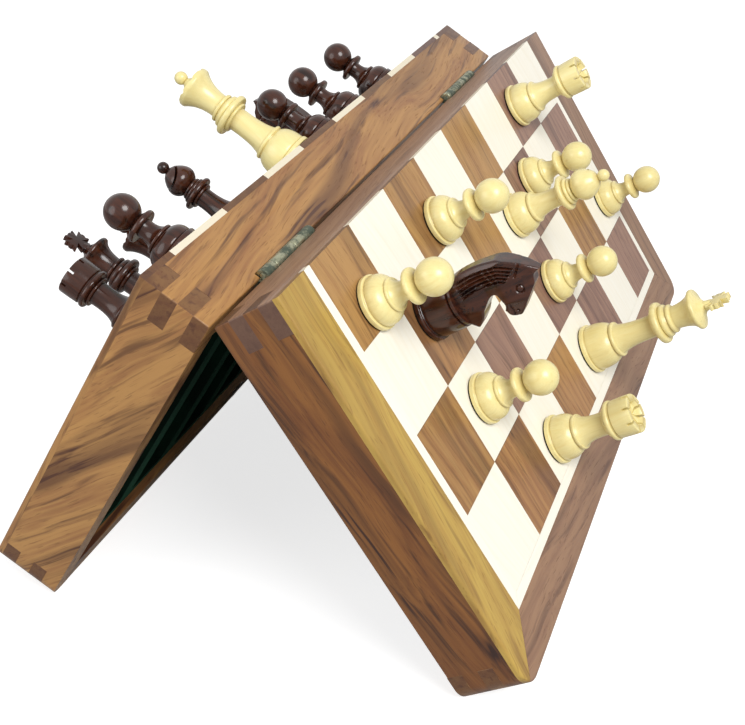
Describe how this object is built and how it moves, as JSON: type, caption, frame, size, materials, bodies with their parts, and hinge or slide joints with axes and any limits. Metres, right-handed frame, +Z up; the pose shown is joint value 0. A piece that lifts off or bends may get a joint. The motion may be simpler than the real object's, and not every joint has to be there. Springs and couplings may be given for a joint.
{
  "type": "folding chess box",
  "caption": "Wooden box of two shallow hinged trays with a chessboard across their outer faces, shown standing open as a tent with magnetic chessmen held on the board.",
  "frame": {"origin": "on the table, under the middle of the standing tent's bounding box, midway along the hinge", "axes": "+Z up, +Y along the hinge from the near end to the far end, +X towards the right leaf, whose tray is the base of the assembly"},
  "size_m": [0.2218, 0.254, 0.1389],
  "materials": {
    "wall_wood": "satin oiled",
    "plywood": "bare",
    "steel": "rolled",
    "maple": "satin",
    "dark_square_wood": "satin oiled",
    "line_wood": "satin",
    "border_wood": "satin oiled",
    "insert_cloth": "velvet",
    "magnet": "plated",
    "hinge_brass": "aged",
    "boxwood": "polished",
    "rosewood": "polished"
  },
  "bodies": {
    "right_leaf": {"right_near_end_wall": "wall_wood", "right_far_end_wall": "wall_wood", "right_hinge_wall": "wall_wood", "right_free_wall": "wall_wood", "right_deck_panel": "plywood", "right_steel_sheet": "steel", "right_light_squares": "maple", "right_dark_squares": "dark_square_wood", "right_inlay_line": "line_wood", "right_border": "border_wood", "right_insert": "insert_cloth", "right_catch_magnet": "magnet", "near_hinge_right_plate": "hinge_brass", "far_hinge_right_plate": "hinge_brass", "right_hinge_screws": "hinge_brass", "near_hinge_pin": "hinge_brass", "far_hinge_pin": "hinge_brass"},
    "left_leaf": {"left_near_end_wall": "wall_wood", "left_far_end_wall": "wall_wood", "left_hinge_wall": "wall_wood", "left_free_wall": "wall_wood", "left_deck_panel": "plywood", "left_steel_sheet": "steel", "left_light_squares": "maple", "left_dark_squares": "dark_square_wood", "left_inlay_line": "line_wood", "left_border": "border_wood", "left_insert": "insert_cloth", "left_catch_magnet": "magnet", "near_hinge_left_plate": "hinge_brass", "far_hinge_left_plate": "hinge_brass", "left_hinge_screws": "hinge_brass"},
    "light_rook_a": {"light_rook_a": "boxwood"},
    "light_rook_b": {"light_rook_b": "boxwood"},
    "light_bishop": {"light_bishop": "boxwood"},
    "light_king": {"light_king": "boxwood"},
    "light_pawn_a": {"light_pawn_a": "boxwood"},
    "light_pawn_b": {"light_pawn_b": "boxwood"},
    "light_pawn_c": {"light_pawn_c": "boxwood"},
    "light_pawn_d": {"light_pawn_d": "boxwood"},
    "light_pawn_e": {"light_pawn_e": "boxwood"},
    "light_pawn_f": {"light_pawn_f": "boxwood"},
    "dark_knight_a": {"dark_knight_a": "rosewood"},
    "light_queen": {"light_queen": "boxwood"},
    "dark_pawn_a": {"dark_pawn_a": "rosewood"},
    "dark_pawn_b": {"dark_pawn_b": "rosewood"},
    "dark_pawn_c": {"dark_pawn_c": "rosewood"},
    "dark_pawn_d": {"dark_pawn_d": "rosewood"},
    "dark_knight_b": {"dark_knight_b": "rosewood"},
    "dark_bishop": {"dark_bishop": "rosewood"},
    "dark_rook": {"dark_rook": "rosewood"},
    "dark_king": {"dark_king": "rosewood"},
    "dark_queen": {"dark_queen": "rosewood"}
  },
  "joints": [
    {"name": "leaf_hinge", "type": "hinge", "parent": "right_leaf", "child": "left_leaf", "pos_m": [-0.0047, 0, 0.10805], "axis": [0, 1, 0], "range_deg": [-64, 116]},
    {"name": "light_rook_a_lift", "type": "slide", "parent": "right_leaf", "child": "light_rook_a", "axis": [0.848, 0, 0.5299], "range_m": [0, 0.03]},
    {"name": "light_rook_b_lift", "type": "slide", "parent": "right_leaf", "child": "light_rook_b", "axis": [0.848, 0, 0.5299], "range_m": [0, 0.03]},
    {"name": "light_bishop_lift", "type": "slide", "parent": "right_leaf", "child": "light_bishop", "axis": [0.848, 0, 0.5299], "range_m": [0, 0.03]},
    {"name": "light_king_lift", "type": "slide", "parent": "right_leaf", "child": "light_king", "axis": [0.848, 0, 0.5299], "range_m": [0, 0.03]},
    {"name": "light_pawn_a_lift", "type": "slide", "parent": "right_leaf", "child": "light_pawn_a", "axis": [0.848, 0, 0.5299], "range_m": [0, 0.03]},
    {"name": "light_pawn_b_lift", "type": "slide", "parent": "right_leaf", "child": "light_pawn_b", "axis": [0.848, 0, 0.5299], "range_m": [0, 0.03]},
    {"name": "light_pawn_c_lift", "type": "slide", "parent": "right_leaf", "child": "light_pawn_c", "axis": [0.848, 0, 0.5299], "range_m": [0, 0.03]},
    {"name": "light_pawn_d_lift", "type": "slide", "parent": "right_leaf", "child": "light_pawn_d", "axis": [0.848, 0, 0.5299], "range_m": [0, 0.03]},
    {"name": "light_pawn_e_lift", "type": "slide", "parent": "right_leaf", "child": "light_pawn_e", "axis": [0.848, 0, 0.5299], "range_m": [0, 0.03]},
    {"name": "light_pawn_f_lift", "type": "slide", "parent": "right_leaf", "child": "light_pawn_f", "axis": [0.848, 0, 0.5299], "range_m": [0, 0.03]},
    {"name": "dark_knight_a_lift", "type": "slide", "parent": "right_leaf", "child": "dark_knight_a", "axis": [0.848, 0, 0.5299], "range_m": [0, 0.03]},
    {"name": "light_queen_lift", "type": "slide", "parent": "left_leaf", "child": "light_queen", "axis": [-0.848, 0, 0.5299], "range_m": [0, 0.03]},
    {"name": "dark_pawn_a_lift", "type": "slide", "parent": "left_leaf", "child": "dark_pawn_a", "axis": [-0.848, 0, 0.5299], "range_m": [0, 0.03]},
    {"name": "dark_pawn_b_lift", "type": "slide", "parent": "left_leaf", "child": "dark_pawn_b", "axis": [-0.848, 0, 0.5299], "range_m": [0, 0.03]},
    {"name": "dark_pawn_c_lift", "type": "slide", "parent": "left_leaf", "child": "dark_pawn_c", "axis": [-0.848, 0, 0.5299], "range_m": [0, 0.03]},
    {"name": "dark_pawn_d_lift", "type": "slide", "parent": "left_leaf", "child": "dark_pawn_d", "axis": [-0.848, 0, 0.5299], "range_m": [0, 0.03]},
    {"name": "dark_knight_b_lift", "type": "slide", "parent": "left_leaf", "child": "dark_knight_b", "axis": [-0.848, 0, 0.5299], "range_m": [0, 0.03]},
    {"name": "dark_bishop_lift", "type": "slide", "parent": "left_leaf", "child": "dark_bishop", "axis": [-0.848, 0, 0.5299], "range_m": [0, 0.03]},
    {"name": "dark_rook_lift", "type": "slide", "parent": "left_leaf", "child": "dark_rook", "axis": [-0.848, 0, 0.5299], "range_m": [0, 0.03]},
    {"name": "dark_king_lift", "type": "slide", "parent": "left_leaf", "child": "dark_king", "axis": [-0.848, 0, 0.5299], "range_m": [0, 0.03]},
    {"name": "dark_queen_lift", "type": "slide", "parent": "left_leaf", "child": "dark_queen", "axis": [-0.848, 0, 0.5299], "range_m": [0, 0.03]}
  ]
}
